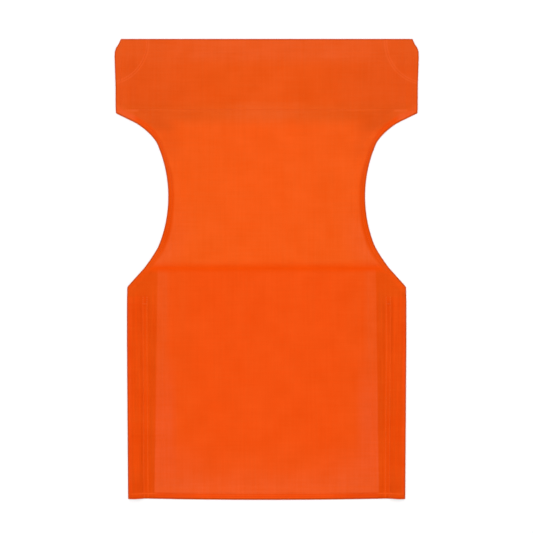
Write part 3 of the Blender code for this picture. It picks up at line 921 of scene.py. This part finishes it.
def rail_sleeve(word, side, material):
    """The side of the seat turned under, which closes the sleeve from below."""
    slope = inward(WAIST_EDGE, WAIST_HEM + 0.0006)[-16:]
    ys = spaced(FRONT_CORNER, (-0.395, 0.0015), (-0.06, 0.005), (0.006, 0.0022))
    outer = half_width(ys) - 0.001
    outer = np.where(ys > slope[-1, 1], np.interp(ys, slope[::-1, 1], slope[::-1, 0]), outer)
    share = np.concatenate([np.linspace(0, 0.9, 22), [0.93, 0.96, 0.98, 0.99, 1.0]])
    inner = sleeve_edge(ys)
    x = inner[:, None] + (outer - inner)[:, None] * share[None, :]
    y = np.repeat(ys[:, None], x.shape[1], axis=1)
    edge = np.abs(x - outer[:, None])
    z = CLOTH / 2 + 0.0004 * (1 - np.clip(edge / 0.001, 0, 1)) ** 2
    z = z + 0.00012 * (1 + waves(x * side, y, 0.02, 0.07, 11.2)) * smooth(x - inner[:, None], 0.0, 0.004)
    piece = cloth_piece(word + "_sleeve_underside", *on_side(side, x, y, z), material)
    return stand_in(piece, "canvas_sleeve", word + "_rail_sleeve")


def hood_rear(material):
    rows = spaced(HOOD_MOUTH, (0.272, 0.001), (0.398, 0.006), (TOP - 0.0004, 0.0016))
    insets = spaced(0.001, (0.004, 0.0006), (0.03, 0.0052))
    x = across(rows, insets, 34)
    y = np.repeat(rows[:, None], x.shape[1], axis=1)
    rim = np.minimum(np.minimum(rim_distance(x, y), half_width(y) - np.abs(x)), 0.01)
    z = CLOTH / 2 + 0.0005 * (1 - np.clip(rim / 0.0016, 0, 1)) ** 2
    piece = cloth_piece("hood_back", x, y, z, material)
    return stand_in(piece, "canvas_hood", "hood_rear_panel")


def mouth_hem(material):
    """The hood's back turned up inside it, along the mouth."""
    half = float(half_width(HOOD_MOUTH)) - SIDE_SEAM
    start = HOOD_MOUTH + 0.0004
    ys = spaced(start, (start + 0.002, 0.0005), (MOUTH_HEM_TOP, 0.003))
    xs = np.linspace(-half, half, 90)
    x, y = np.meshgrid(xs, ys)
    fold = np.clip((y - start) / 0.0016, 0, 1)
    z = LAYER + CLOTH / 2 - 0.0004 * (1 - fold) ** 2 + 0.00015 * (1 + waves(x, y, 0.03, 0.05, 13.0))
    piece = cloth_piece("hood_mouth_turning", x, y, z, material)
    return stand_in(piece, "canvas_hem", "hood_mouth_hem")


def side_seam(word, side, material):
    ys = spaced(0.2815, (0.386, 0.0035))
    outer = half_width(ys) - 0.0012
    x = outer[:, None] - SIDE_SEAM * np.linspace(1.0, 0.0, 8)[None, :]
    y = np.repeat(ys[:, None], 8, axis=1)
    z = LAYER + CLOTH / 2 + 0.00015 * (1 + waves(x * side, y, 0.01, 0.02, 15.0))
    piece = cloth_piece(word + "_hood_seam_allowance", *on_side(side, x, y, z), material)
    return stand_in(piece, "canvas_hem", word + "_hood_side_seam")


def corner_patch(word, side, material):
    """The quarter-round reinforcement inside a corner of the hood, just under the front cloth."""
    centre_x, centre_y = PATCH_CENTRE
    ys = spaced(0.34, (0.404, 0.0032))
    inner = centre_x - np.sqrt(PATCH_RADIUS ** 2 - (centre_y - ys) ** 2)
    outer = half_width(ys) - SIDE_SEAM - 0.001
    x = inner[:, None] + (outer - inner)[:, None] * np.linspace(0, 1, 22)[None, :]
    y = np.repeat(ys[:, None], 22, axis=1)
    z = np.maximum(underside(side * x, y) - CLOTH / 2 - 0.00025, LAYER)
    piece = cloth_piece(word + "_corner_reinforcement", *on_side(side, x, y, z), material)
    return stand_in(piece, "canvas_patch", word + "_corner_patch")


def folded_strip(name, outer, inner, material, side=1):
    """A hem: cloth turned under twice, swept along a line between its outer and inner edges."""
    turns = np.linspace(-math.pi / 2, math.pi / 2, 5)
    outside = [(HEM_ROUND - HEM_ROUND * math.cos(t), 0.5 + 0.5 * math.sin(t)) for t in turns]
    inside = [(1 - HEM_ROUND + HEM_ROUND * math.cos(t), 0.5 - 0.5 * math.sin(t)) for t in turns]
    upper = [(share, 1.0) for share in (0.2, 0.4, 0.6, 0.8)]
    lower = [(share, 0.0) for share in (0.8, 0.6, 0.4, 0.2)]
    section = np.array(outside + upper + inside + lower)
    height = 2 * CLOTH
    x = outer[:, :1] + (inner[:, :1] - outer[:, :1]) * section[None, :, 0]
    y = outer[:, 1:] + (inner[:, 1:] - outer[:, 1:]) * section[None, :, 0]
    z = height * np.repeat(section[None, :, 1], len(outer), axis=0)
    z = z + HEM_WAVE * (1 + waves(x, y, 0.012, 0.012, seed=17.0)) * (z > height / 2)
    points = np.stack([side * x, y, z], axis=-1).reshape(-1, 3)
    rows, columns = x.shape
    faces = grid_faces(rows, columns, closed=True)
    faces.append(tuple(range(columns)))
    faces.append(tuple((rows - 1) * columns + column for column in reversed(range(columns))))
    if side > 0:
        faces = [face[::-1] for face in faces]
    mesh = mesh_of(name, points, faces, points[:, :2])
    mesh.materials.append(material)
    item = object_of(name, mesh)
    mesh.validate()
    return item


def waist_hem(word, side, material):
    edge = WAIST_EDGE[WAIST_EDGE[:, 1] < WAIST_HEM_TOP]
    line = resample(edge, 0.0035)
    piece = folded_strip(word + "_cutout_hem", inward(line, 0.001), inward(line, WAIST_HEM), material, side)
    return stand_in(piece, "canvas_hem", word + "_waist_hem", word + "_seat_corner_hem")


def front_hem(material):
    half = float(sleeve_edge(FRONT_CORNER + FRONT_HEM)) - 0.0012
    xs = np.linspace(-half, half, 110)
    outer = np.stack([xs, front_edge(xs) + 0.0004], axis=1)
    inner = np.stack([xs, front_edge(xs) + FRONT_HEM], axis=1)
    piece = folded_strip("front_turning", outer, inner, material)
    return stand_in(piece, "canvas_hem", "front_hem")


# ---------------------------------------------------------------- stitching

def tree_of(item):
    mesh = item.data
    points = [vertex.co for vertex in mesh.vertices]
    return BVHTree.FromPolygons(points, [tuple(face.vertices) for face in mesh.polygons])


def stitches(name, lines, surfaces, material):
    """Rows of stitches lying on cloth. Each surface is a search tree and a side, 1 above or -1 below."""
    points, faces, uvs = [], [], []
    for line in lines:
        line = resample(np.asarray(line), STITCH_PITCH)
        for tree, up in surfaces:
            for first, second in zip(line, line[1:]):
                add_stitch(points, faces, uvs, first, second, tree, up)
    mesh = mesh_of(name, np.array(points), faces, np.array(uvs))
    mesh.materials.append(material)
    return object_of(name, mesh)


def add_stitch(points, faces, uvs, first, second, tree, up):
    """One stitch: a short thread that dips into the cloth at both ends."""
    run = second - first
    length = math.hypot(*run)
    run = run / length
    start = first + run * (STITCH_PITCH - STITCH) / 2
    base = len(points)
    for share in STITCH_RINGS:
        x, y = start + run * STITCH * share
        hit, normal = tree.ray_cast(Vector((x, y, 0.05 * up)), Vector((0, 0, -up)))[:2]
        if hit is None:
            del points[base:], uvs[base:]
            return
        normal = normal * (1 if normal.z * up > 0 else -1)
        along = Vector((run[0], run[1], 0.0))
        along = (along - normal * along.dot(normal)).normalized()
        beside = normal.cross(along)
        bulge = max(math.sin(math.pi * share), 0.0) ** 0.5
        radius = THREAD / 2 * (0.25 + 0.75 * bulge)
        centre = hit + normal * (THREAD * (0.42 * bulge - 0.3))
        for side in range(STITCH_SIDES):
            turn = 2 * math.pi * side / STITCH_SIDES
            point = centre + beside * (radius * 1.15 * math.cos(turn)) + normal * (radius * math.sin(turn))
            points.append(tuple(point))
            uvs.append((share * STITCH + first[0], turn * THREAD / 2 + first[1]))
    for ring in range(len(STITCH_RINGS) - 1):
        for side in range(STITCH_SIDES):
            a = base + ring * STITCH_SIDES + side
            b = base + ring * STITCH_SIDES + (side + 1) % STITCH_SIDES
            faces.append((a, b, b + STITCH_SIDES, a + STITCH_SIDES)[::-1])
    faces.append(tuple(base + side for side in range(STITCH_SIDES)))
    last = base + (len(STITCH_RINGS) - 1) * STITCH_SIDES
    faces.append(tuple(last + side for side in reversed(range(STITCH_SIDES))))


def mirrored(line, side):
    return np.asarray(line) * np.array([side, 1.0])


def sleeve_row(row):
    ys = spaced(FRONT_HEM_ROW - 0.005, (-0.065, 0.01), (TACK_END - 0.0012, 0.001))
    return np.stack([half_width(np.minimum(ys, -0.06)) - row, ys], axis=1)


def patch_arc():
    turns = np.radians(np.linspace(179, 248, 40))
    return np.stack([
        PATCH_CENTRE[0] + PATCH_STITCH_RADIUS * np.cos(turns),
        PATCH_CENTRE[1] + PATCH_STITCH_RADIUS * np.sin(turns),
    ], axis=1)


def all_stitching(face, flaps, thread):
    """Every row of stitches, as its own piece, listed by the bodies that it lies on."""
    top = (tree_of(face), 1)
    made = {"both": [], "back": [], "seat": []}

    def sew(bodies, name, lines, surfaces, *nodes):
        piece = stitches(name, lines, surfaces, thread)
        made[bodies].append(stand_in(piece, "thread", *nodes))

    for word, side in (("left", -1), ("right", 1)):
        both_sides = [top, (tree_of(flaps[word]), -1)]
        line = inward(WAIST_EDGE, WAIST_STITCH)
        line = line[(line[:, 1] > ARM_STITCH_SPAN[0]) & (line[:, 1] < ARM_STITCH_SPAN[1])]
        sew("both", word + "_cutout_stitches", [mirrored(line, side)], [top],
            word + "_waist_hem_stitching", word + "_seat_corner_stitching")
        sew("back", word + "_patch_stitches", [mirrored(patch_arc(), side)], [top],
            word + "_corner_patch_stitching")
        ys = spaced(SIDE_STITCH_SPAN[0], (SIDE_STITCH_SPAN[1], 0.01))
        line = np.stack([half_width(ys) - SIDE_SEAM + 0.003, ys], axis=1)
        sew("back", word + "_side_seam_stitches", [mirrored(line, side)], [top],
            word + "_side_seam_stitching")
        for number, row in zip(("outer", "inner"), SLEEVE_ROWS):
            sew("seat", f"{word}_sleeve_{number}_stitches", [mirrored(sleeve_row(row), side)], both_sides,
                f"{word}_sleeve_{number}_stitching")
        sew("seat", word + "_bar_tack_stitches", bar_tack_lines(side), both_sides,
            word + "_sleeve_bar_tack")

    lines = [[(-MOUTH_STITCH_HALF, MOUTH_HEM_TOP), (MOUTH_STITCH_HALF, MOUTH_HEM_TOP)]]
    y = MOUTH_HEM_TOP - MOUTH_TACK_STEP
    for side in (-1, 1):
        lines.append(mirrored([(MOUTH_TACK_START, y), (MOUTH_STITCH_HALF, y)], side))
    sew("back", "hood_mouth_stitches", lines, [top], "hood_mouth_stitching")
    line = [(-FRONT_STITCH_HALF, FRONT_HEM_ROW), (FRONT_STITCH_HALF, FRONT_HEM_ROW)]
    sew("seat", "front_hem_stitches", [line], [top], "front_hem_stitching")
    return made


def bar_tack_lines(side):
    """The boxed tack that locks the sleeve's end: close rows across it and up both of its sides."""
    outer, inner = (float(half_width(TACK_END)) - row for row in SLEEVE_ROWS)
    lines = []
    for step in range(TACK_ROWS):
        y = TACK_END + step * TACK_STEP
        lines.append(mirrored([(inner - 0.0014, y), (outer + 0.0014, y)], side))
    for x in (inner - 0.0005, inner + 0.0005, outer - 0.0005, outer + 0.0005):
        lines.append(mirrored([(x, TACK_END + 0.0026), (x, SLEEVE_END + 0.001)], side))
    return lines


# ---------------------------------------------------------------- stage

# The camera stands over this place, sees this width of the floor, and has a sensor in millimetres
CAMERA_OVER = (-0.0003, 0.0052)
CAMERA_HEIGHT = 4.0
VIEW_WIDTH = 0.9549
SENSOR = 36.0

# Each light's place, its size in metres and its power in watts
SOFTBOXES = {
    "softbox_overhead": ((0.0, 0.4, 6.5), (2.6, 2.6), 160.0),
    "softbox_top": ((0.0, 5.2, 5.0), (6.0, 3.0), 67.0),
    "softbox_left": ((-5.6, -0.4, 5.0), (3.0, 6.0), 55.0),
    "softbox_right": ((5.6, -0.4, 5.0), (3.0, 6.0), 55.0),
}
WORLD_STRENGTH = 0.6
FLOOR_SIZE = 60.0
FLOOR_HEIGHT = -0.0004


def camera():
    """Straight above the cover, far enough off to see it almost without perspective."""
    data = bpy.data.cameras.new("camera")
    item = object_of("camera", data)
    item.location = (*CAMERA_OVER, CAMERA_HEIGHT)
    data.sensor_width = SENSOR
    data.lens = SENSOR * CAMERA_HEIGHT / VIEW_WIDTH
    data.clip_end = 100.0
    bpy.context.scene.camera = item


def softbox(name, place, size, power):
    """A rectangular light that faces the middle of the cover."""
    data = bpy.data.lights.new(name, "AREA")
    data.shape = "RECTANGLE"
    data.size, data.size_y = size
    data.energy = power
    item = object_of(name, data)
    item.location = place
    item.rotation_mode = "QUATERNION"
    item.rotation_quaternion = (-item.location).to_track_quat("-Z", "Y")


def stage():
    """The studio: an even white surrounding, the lights and a pale floor just below the cover."""
    scene = bpy.context.scene
    scene.view_settings.view_transform = "Standard"
    world = bpy.data.worlds.new("studio")
    world.use_nodes = True
    surrounding = world.node_tree.nodes["Background"]
    surrounding.inputs["Color"].default_value = (1.0, 1.0, 1.0, 1.0)
    surrounding.inputs["Strength"].default_value = WORLD_STRENGTH
    scene.world = world
    for name, (place, size, power) in SOFTBOXES.items():
        softbox(name, place, size, power)
    bpy.ops.mesh.primitive_plane_add(size=FLOOR_SIZE, location=(0, 0, FLOOR_HEIGHT))
    floor = bpy.context.object
    floor.name = "floor"
    mat = Material("pale_floor")
    mat.settings(Base_Color=(0.93, 0.93, 0.93, 1.0), Roughness=0.9, Specular_IOR_Level=0.1)
    floor.data.materials.append(mat.data)


# ---------------------------------------------------------------- assembly

def main():
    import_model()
    camera()
    stage()

    face_canvas = canvas("canvas_face", face_colour)
    under_canvas = canvas("canvas_turned_under", plain_colour(ALLOWANCE_TONE))
    hood_canvas = canvas("canvas_hood_back", plain_colour(BAND_TONES[1]))
    hem_canvas = canvas("canvas_hem", plain_colour(FRONT_HEM_TONES[1]))
    patch_canvas = canvas("canvas_patch", plain_colour(BAND_TONES[2]))
    thread = thread_material()

    face = cover_face(face_canvas)
    flaps = {word: rail_sleeve(word, side, under_canvas) for word, side in (("left", -1), ("right", 1))}
    rear = hood_rear(hood_canvas)
    mouth = mouth_hem(hem_canvas)
    seams, patches, hems = [], [], []
    for word, side in (("left", -1), ("right", 1)):
        seams.append(side_seam(word, side, hem_canvas))
        patches.append(corner_patch(word, side, patch_canvas))
        hems.append(waist_hem(word, side, hem_canvas))
    front = front_hem(hem_canvas)
    rows = all_stitching(face, flaps, thread)

    for piece in [face, *flaps.values(), *hems, *rows["both"]]:
        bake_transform(piece)
    for piece in [rear, mouth, *seams, *patches, *rows["back"]]:
        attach(piece, "back")
    for piece in [front, *rows["seat"]]:
        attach(piece, "seat")


main()
